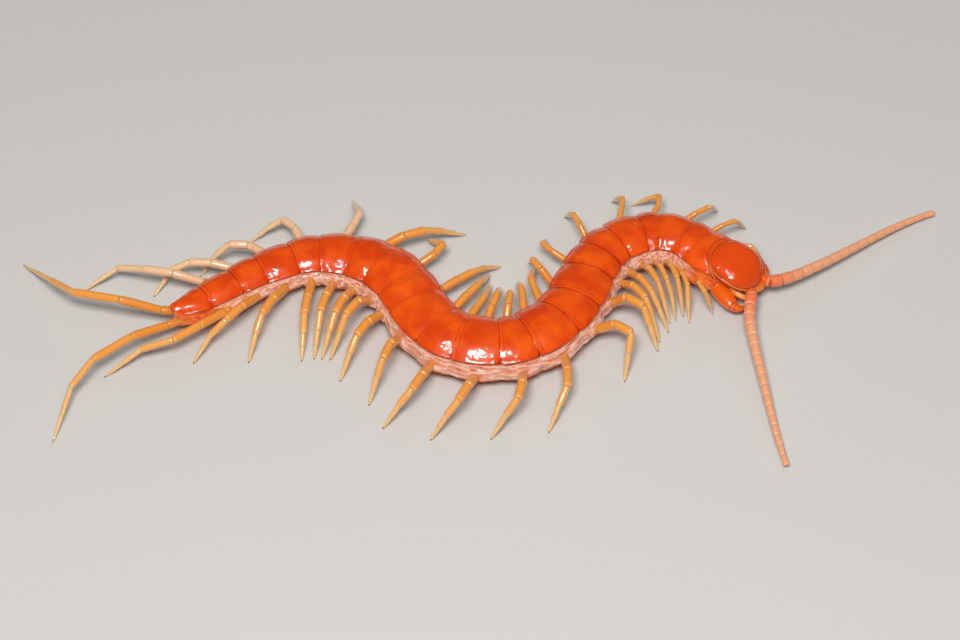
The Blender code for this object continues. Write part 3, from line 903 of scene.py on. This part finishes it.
def leg_joints(number, side):
    """Points from inside the flank to the foot: inner, hip, upper, knee, ankle and foot."""
    hip, facing, heading = hip_of(number, side)
    pose = pose_of(number, side)
    size = leg_measure(number)[0] * pose.share
    lengths = [length * size for length in LEG_LINKS]
    if number - 1 == LAST:
        lengths = [length * pose.share for length in LAST_LEG_LINKS]

    def swing(angle):
        return turned(heading + side * (90 - angle))

    rise = pose.knee - hip.z + HIP_LIFT * size
    reach = math.sqrt(lengths[0] ** 2 - rise**2)
    upper = hip + swing(pose.upper) * reach
    upper.z = hip.z + rise
    knee = upper + swing(lerp(pose.upper, pose.lower, KNEE_SHARE)) * lengths[1]
    knee.z = pose.knee
    shin = lengths[2] + lengths[3]
    fall = pose.knee - SOLE_HEIGHT
    level = math.sqrt(shin**2 - fall**2) / shin
    ankle = knee + swing(pose.lower) * lengths[2] * level
    ankle.z = pose.knee - fall * lengths[2] / shin + ANKLE_LIFT * size
    foot = ankle + swing(pose.lower + pose.toe) * lengths[3] * level
    foot.z = CLAW_HEIGHT
    inner = hip - (upper - hip).normalized() * ROOT_BACK - turned(facing, ROOT_INWARD)
    inner.z += ROOT_UP
    return inner, hip, upper, knee, ankle, foot


print("right leg 12 stands at", [round(value, 1) for value in leg_joints(12, -1)[-1]])

# %% Make the legs
# Where on a leg's links the ring, the foot's joint and the claw lie.
RING_SHARE, FOOT_SHARE, CLAW_SHARE = 0.20, 0.50, 0.93
PALE_LEGS = range(18, 23)
PALE_TONE = (0.8, 0.1)
# Spines under the last pair's upper link: share of its length, lean inwards, length.
SPINES = ((0.45, 0.1, 0.85), (0.75, 0.8, 0.65))


def tone_of(number, side):
    """How orange a leg is on its back and below. The left legs near the tail are pale below."""
    return PALE_TONE if side > 0 and number in PALE_LEGS else ORANGE


def leg(number, side):
    inner, hip, upper, knee, ankle, foot = leg_joints(number, side)
    girth = leg_measure(number)[1] * min(pose_of(number, side).share, 1.0)
    tone = tone_of(number, side)
    ring = hip.lerp(upper, RING_SHARE)
    mid_foot = ankle.lerp(foot, FOOT_SHARE)
    claw = ankle.lerp(foot, CLAW_SHARE)

    def thick(radius):
        return max(radius * girth, THINNEST)

    whole = bmesh.new()
    # The root, deep in the flank, and the link after it get painted shade.
    root_look = Look(ORANGE, lip=0.0, shadow=0.2)
    add_link(whole, inner, ring, (0.40 * girth, 0.42 * girth), root_look)
    add_link(whole, ring, upper, (0.41 * girth, 0.41 * girth), Look(tone, shadow=0.08))
    add_link(whole, upper, knee, (thick(0.40), thick(0.37)), Look(tone, 0.05))
    add_link(whole, knee, ankle, (thick(0.33), thick(0.30)), Look(tone, 0.25))
    add_link(whole, ankle, mid_foot, (thick(0.25), 0.21 * girth), Look(tone, 0.5))
    add_link(whole, mid_foot, claw, (0.20 * girth, 0.10 * girth), Look(tone, 0.65))
    add_link(whole, claw, foot, (0.08 * girth, 0.03), Look(tone, 0.3, 0.7), sides=8)
    if number - 1 == LAST:
        for share, lean, length in SPINES:
            base = ring.lerp(upper, share)
            way = turned(TAIL_HEADING - 90 * side, lean) + Vector((0, 0, lean - 1))
            tip = base + way.normalized() * length
            add_link(whole, base, tip, (0.13, 0.02), Look(ORANGE, dark=0.6), sides=8)
    label = "%s_%02d" % ("left" if side > 0 else "right", number)
    return finish_piece(whole, "limb_" + label, LEG_CHITIN, ["leg_" + label])


legs = [leg(number, side) for number in range(1, LAST + 2) for side in (1, -1)]
print(len(legs), "legs of", len(legs[0].data.polygons), "faces")

# %% [markdown]
# ## Feelers
# Each feeler is a string of 17 links that get smaller towards the tip. A line is walked
# from the front of the head, turning a little at each step, and links are laid on it.
# The socket piece and the first links are bare and orange, the others pale with fine down.

# %% Course of a feeler
FEELER_LINKS = 17
# Root of each feeler: place ahead of the neck, place to the left, height.
FEELER_ROOTS = {"left": (3.78, 0.62, 2.15), "right": (3.26, -1.55, 2.15)}
FEELER_SOCKETS = {"left": (3.05, 0.60, 2.12), "right": (2.72, -0.95, 2.12)}
# Millimetres along the feeler, and the way it heads there.
FEELER_WAYS = {
    "left": (
        (0.0, 14), (1.2, 24), (2.5, 32), (5.0, 35), (8.0, 37), (11.0, 36), (14.0, 32), (17.3, 22),
    ),
    "right": (
        (0.0, -101), (1.2, -97), (2.6, -85), (5.0, -81), (9.0, -81), (13.0, -80), (16.7, -76),
    ),
}
FEELER_TIP_HEIGHT = 0.5
WALK_STEPS = 10


def in_head(ahead, left, height):
    """Point of the head, from its own axes to the animal's."""
    flat = NECK + turned(HEAD_HEADING, ahead) + turned(HEAD_HEADING + 90, left)
    return Vector((flat.x, flat.y, height))


def feeler_joints(name):
    point = in_head(*FEELER_ROOTS[name])
    height = point.z
    ways = FEELER_WAYS[name]
    step = ways[-1][0] / FEELER_LINKS / WALK_STEPS
    joints = []
    for k in range(FEELER_LINKS * WALK_STEPS + 1):
        if k % WALK_STEPS == 0:
            t = k / (FEELER_LINKS * WALK_STEPS)
            fallen = lerp(FEELER_TIP_HEIGHT, height, (1 - t) ** 1.4)
            joints.append(Vector((point.x, point.y, fallen)))
        point += turned(smooth_row(ways, k * step)[0], step)
    return joints


print("left feeler ends at", [round(value, 1) for value in feeler_joints("left")[-1]])

# %% Make the feelers
FEELER_BASE, FEELER_TIP = 0.54, 0.26
SOCKET_RADII = (0.40, 0.49)
FEELER_SIDES = 20
LINK_FILLS = 0.94
WARM_LINKS = (0.9, 0.6, 0.35)
DOWNY_WARMTH = 0.1


def feeler_radius(number):
    return lerp(FEELER_BASE, FEELER_TIP, (number / FEELER_LINKS) ** 0.8)


def feeler(name):
    """The socket piece and 17 links, of which the first few are bare and orange."""
    joints = feeler_joints(name)
    socket = in_head(*FEELER_SOCKETS[name])
    whole = bmesh.new()
    add_link(whole, socket, joints[0], SOCKET_RADII, Look(ORANGE), FEELER_SIDES)
    for number, (start, end) in enumerate(zip(joints, joints[1:])):
        radii = (feeler_radius(number), feeler_radius(number + 1))
        warm = WARM_LINKS[number] if number < len(WARM_LINKS) else DOWNY_WARMTH
        look = Look((warm, warm), 0.1)
        add_link(whole, start, start.lerp(end, LINK_FILLS), radii, look, FEELER_SIDES)
    label = "feeler_" + name
    return finish_piece(whole, label, FEELER_CHITIN, ["antenna_" + name])


feelers = [feeler("left"), feeler("right")]
print("feelers:", [len(piece.data.polygons) for piece in feelers])

# %% [markdown]
# ## Head plate
# The head plate is an oval dome that lies over the front of the first back plate, with a
# thin raised lip all round and a groove inside the lip. Painted shade darkens the groove,
# the rim's edge and the hollow underside, and a painted highlight makes the lip paler. A
# sphere makes a good start, since it is closed and its rings crowd at the rim: the upper
# half becomes the dome and the lower half its hollow underside.

# %% Shape of the head plate
# Place ahead of the neck, height of the back, height of the edge.
HEAD_RUN = (
    (-1.30, 4.03, 3.93), (-1.00, 4.10, 3.80), (-0.30, 4.14, 3.50),
    (0.50, 4.10, 3.20), (1.30, 3.92, 3.00), (2.00, 3.62, 2.80),
    (2.70, 3.18, 2.55), (3.10, 2.82, 2.35), (3.30, 2.52, 2.25),
)
# A higher power gives a flatter dome with a steeper rim.
DOME_POWER = 5.4
SHELL_THICK = 0.14


def oval(angle, out):
    """Place on the head plate: the angle round it, and how far out, 1 at the rim."""
    along, across = math.cos(angle), math.sin(angle)
    size = (abs(along) ** OVAL + abs(across) ** OVAL) ** (-1 / OVAL)
    return HEAD_MIDDLE + along * size * HEAD_REACH * out, across * size * out


def head_plate():
    bm = bmesh.new()
    bmesh.ops.create_uvsphere(bm, u_segments=112, v_segments=120, radius=1.0)
    _, pale, painted_shade, _ = new_layers(bm, LIMB_LAYERS)
    for vert in bm.verts:
        angle = math.atan2(vert.co.y, vert.co.x)
        out = min(math.hypot(vert.co.x, vert.co.y), 1.0)
        ahead, across = oval(angle, out)
        back, edge = smooth_row(HEAD_RUN, ahead)
        height = back - (back - edge) * out**DOME_POWER
        if vert.co.z < 0:
            height -= SHELL_THICK * (1 - out**6)
            # Painted shade on the hollow underside.
            vert[painted_shade] = 0.6
        else:
            height += 0.06 * bump(out, 0.98, 0.018) - 0.05 * bump(out, 0.94, 0.02)
            height += 0.03 * noise.noise(Vector((ahead * 1.1, across * 2.5, 0.3)))
            # Painted shade in the groove inside the lip and at the rim's edge.
            vert[painted_shade] = 0.6 * bump(out, 0.945, 0.014) + 0.7 * bump(out, 1.0, 0.008)
            # Painted highlight: the lip is paler.
            vert[pale] = 0.45 * bump(out, 0.985, 0.014)
        vert.co = in_head(ahead, across * HEAD_WIDTH / 2, height)
    return finish_piece(bm, "head_plate", HEAD_CHITIN, ["head"])


dome = head_plate()
print("head plate:", len(dome.data.polygons), "faces")

# %% [markdown]
# ## Under the head plate
# The capsule of the head is hidden but for its front, where an orange face plate bulges
# out between the sockets of the feelers. Below it lie the palps, two yellowish feelers
# for food, and then the breastplate that carries the fangs.

# %% Head capsule


def blob(name, centre, sizes, tones, material, stands_for=(), shape=None):
    """A rounded body in the head's own axes."""
    bm = bmesh.new()
    bmesh.ops.create_uvsphere(bm, u_segments=40, v_segments=24, radius=1.0)
    set_tones(bm, tones)
    for vert in bm.verts:
        round_spot = shape(*vert.co) if shape else vert.co
        spot = [middle + share * size for middle, share, size in zip(centre, round_spot, sizes)]
        vert.co = in_head(*spot)
    return finish_piece(bm, name, material, stands_for)


def capsule_shape(x, y, z):
    """Square up the sphere and lower its front."""
    swell = 1 + 0.12 * (1 - abs(y)) * soft_step(0.2, 1.0, x)
    return x * swell, y * (1 + 0.12 * (1 - y * y)), z - 0.35 * soft_step(0.2, 1.0, x)


# The capsule's tones: fairly warm, with a little painted shade, as it lies under the head plate.
capsule = blob(
    "head_capsule", (1.10, 0, 2.52), (1.85, 1.88, 0.75), (0.6, 0, 0.1, 0), HEAD_CHITIN,
    (), capsule_shape,
)
face = blob(
    "face_plate", (3.06, 0, 1.88), (0.56, 0.80, 0.42), (1.0, 0.12, 0, 0), HEAD_CHITIN,
)
print("made", capsule.name, "and", face.name)

# %% [markdown]
# ## Bent tubes
# Fangs and palps are curved, so links from the lathe don't do. They start as the same
# straight tube as the skin. A table gives the path's points and the radius, and each
# ring of the tube is set square to the path.

# %% Bend a tube along a path


def bent_tube(table, rows, sides, flat=1.0):
    """Tube along a table of place, ahead, out, height and radius, in the head's axes."""
    bm = straight_tube(rows, sides)
    first, last = table[0][0], table[-1][0]
    for vert in bm.verts:
        share = vert.co.z / rows
        place = lerp(first, last, share)
        ahead, out, height, radius = smooth_row(table, place)
        step = (last - first) * 0.004
        after = Vector(smooth_row(table, place + step)[:3])
        before = Vector(smooth_row(table, place - step)[:3])
        along = (after - before).normalized()
        across = Vector((0, 0, 1)).cross(along).normalized()
        upright = along.cross(across)
        angle = math.atan2(vert.co.y, vert.co.x)
        ring = across * math.cos(angle) + upright * math.sin(angle) * flat
        vert.co = in_head(*(Vector((ahead, out, height)) + ring * radius))
    return bm


# Place along the fang, ahead of the neck, out from the middle, height, radius.
FANG_RUN = (
    (0.00, -0.70, 1.35, 1.75, 0.62), (0.12, 0.00, 1.72, 1.64, 0.74), (0.26, 0.68, 2.04, 1.54, 0.76),
    (0.40, 1.35, 2.34, 1.44, 0.71), (0.54, 1.95, 2.58, 1.34, 0.60), (0.66, 2.35, 2.64, 1.25, 0.47),
    (0.78, 2.68, 2.50, 1.15, 0.34), (0.90, 2.86, 2.22, 1.06, 0.19), (1.00, 2.90, 1.94, 1.00, 0.04),
)
# How much the front of each fang is tucked in under the head.
FANG_TUCK = {"left": 0.32, "right": 0.0}
TUCK_STARTS = 1.0
# Place and reach of the grooves between the fang's hard parts, which are narrower and get painted
# shade.
FANG_JOINTS = ((0.60, 0.012), (0.67, 0.010), (0.14, 0.02))
FANG_ROWS, FANG_SIDES = 90, 28
FANG_FLATNESS = 0.86


def fang(side):
    name = "left" if side > 0 else "right"
    table = []
    for k in range(FANG_ROWS + 1):
        place = k / FANG_ROWS
        ahead, out, height, radius = smooth_row(FANG_RUN, place)
        for joint, reach in FANG_JOINTS:
            radius *= 1 - 0.13 * bump(place, joint, reach)
        out -= FANG_TUCK[name] * max(0.0, ahead - TUCK_STARTS)
        table.append((place, ahead, out * side, height, radius))
    bm = bent_tube(table, FANG_ROWS, FANG_SIDES, FANG_FLATNESS)
    _, _, painted_shade, dark = new_layers(bm, LIMB_LAYERS)
    bm.verts.ensure_lookup_table()
    for k, vert in enumerate(bm.verts):
        place = min(k // FANG_SIDES, FANG_ROWS) / FANG_ROWS
        vert[dark] = 0.85 * soft_step(0.84, 0.97, place)
        # Painted shade in the grooves between the fang's hard parts; the dark tip is the claw's own
        # colour.
        vert[painted_shade] = max(0.7 * bump(place, joint, reach) for joint, reach in FANG_JOINTS)
    return finish_piece(bm, "fang_" + name, FANG_CHITIN, ["forcipule_" + name])


fangs = [fang(1), fang(-1)]
print("fangs:", [len(piece.data.polygons) for piece in fangs])

# %% Palps and breastplate
# Columns as for the fang.
PALP_RUN = (
    (0.00, 1.00, 1.20, 1.95, 0.26), (0.25, 1.70, 1.62, 1.85, 0.27), (0.50, 2.40, 1.70, 1.72, 0.25),
    (0.70, 2.90, 1.45, 1.58, 0.22), (0.88, 3.25, 1.10, 1.45, 0.17), (1.00, 3.40, 0.85, 1.38, 0.06),
)


def palp(side):
    table = [
        (place, ahead, out * side, height, radius) for place, ahead, out, height, radius in PALP_RUN
    ]
    bm = bent_tube(table, 40, 18)
    set_tones(bm, (1.0, 0.75, 0.0, 0.0))
    name = "palp_left" if side > 0 else "palp_right"
    return finish_piece(bm, name, FANG_CHITIN)


palps = [palp(1), palp(-1)]
breast = blob(
    "breastplate", (1.15, 0, 1.45), (1.35, 1.60, 0.55), (0.5, 0, 0, 0), FANG_CHITIN,
    ["forcipular_plate"], lambda x, y, z: (x, y * (1 - 0.25 * x), z),
)
neck_ring = blob(
    "neck_segment", (-0.45, 0, 2.05), (1.45, 2.12, 1.20), (0.4, 0, 0, 0), HEAD_CHITIN,
)
print("made", [piece.name for piece in (*palps, breast, neck_ring)])

# %% [markdown]
# ## Floor, light and camera
# The studio is plain: a pale floor with no edge in sight, one crisp lamp from the
# camera's side that draws the sharp white highlights, a wide soft lamp above that opens
# the shadows, a weak one behind the animal that lights its rim, and a faint even sky. The
# camera is 300 mm away with a long lens, and looks down at 50 degrees.

# %% Studio
ELEVATION = 50.0
DISTANCE = 300.0
# The picture's middle, seen from the neck.
PICTURE_MIDDLE = Vector((-20.6, -3.85, 0))
LOOK_AT = (NECK + PICTURE_MIDDLE) * MM


def studio_floor():
    bm = bmesh.new()
    bmesh.ops.create_grid(bm, x_segments=1, y_segments=1, size=1.5)
    mesh = bpy.data.meshes.new("studio_floor")
    bm.to_mesh(mesh)
    bm.free()
    floor = new_object("studio_floor", mesh)
    material, tree = new_tree("pale_matt_floor")
    finish_shader(tree, {"Base Color": linear("#C8C5C0"), "Roughness": 0.8})
    mesh.materials.append(material)
    return floor


def soft_lamp(name, azimuth, elevation, distance, width, height, power):
    """Rectangular lamp that faces the animal, placed like a camera round it."""
    light = bpy.data.lights.new(name, "AREA")
    light.shape = "RECTANGLE"
    light.size, light.size_y = width, height
    light.energy = power
    lamp = new_object(name, light)
    a, e = math.radians(azimuth), math.radians(elevation)
    away = Vector((math.sin(a) * math.cos(e), -math.cos(a) * math.cos(e), math.sin(e)))
    lamp.location = away * distance
    lamp.rotation_euler = away.to_track_quat("Z", "Y").to_euler()
    return lamp


studio_floor()
soft_lamp("crisp_lamp", -6, 61, 0.30, 0.115, 0.075, 0.88)
soft_lamp("wide_lamp", 20, 78, 0.35, 0.40, 0.40, 0.22).visible_glossy = False
soft_lamp("rear_lamp", 160, 35, 0.35, 0.20, 0.12, 0.12).visible_glossy = False
world = bpy.data.worlds.new("even_sky")
world.use_nodes = True
sky = world.node_tree.nodes["Background"].inputs
sky["Color"].default_value = linear("#F2F4F8")
sky["Strength"].default_value = 0.08
bpy.context.scene.world = world
bpy.context.scene.view_settings.view_transform = "Standard"
print("floor and three lamps set")

# %% Camera
lens = bpy.data.cameras.new("long_lens")
lens.sensor_width = 36.0
lens.lens = 135.0
lens.clip_start, lens.clip_end = 0.01, 10.0
camera = new_object("camera", lens)
tilt = math.radians(ELEVATION)
camera.location = LOOK_AT + Vector((0, -math.cos(tilt), math.sin(tilt))) * DISTANCE * MM
camera.rotation_euler = (math.radians(90 - ELEVATION), 0, 0)
bpy.context.scene.camera = camera
print("camera at", [round(value, 3) for value in camera.location])
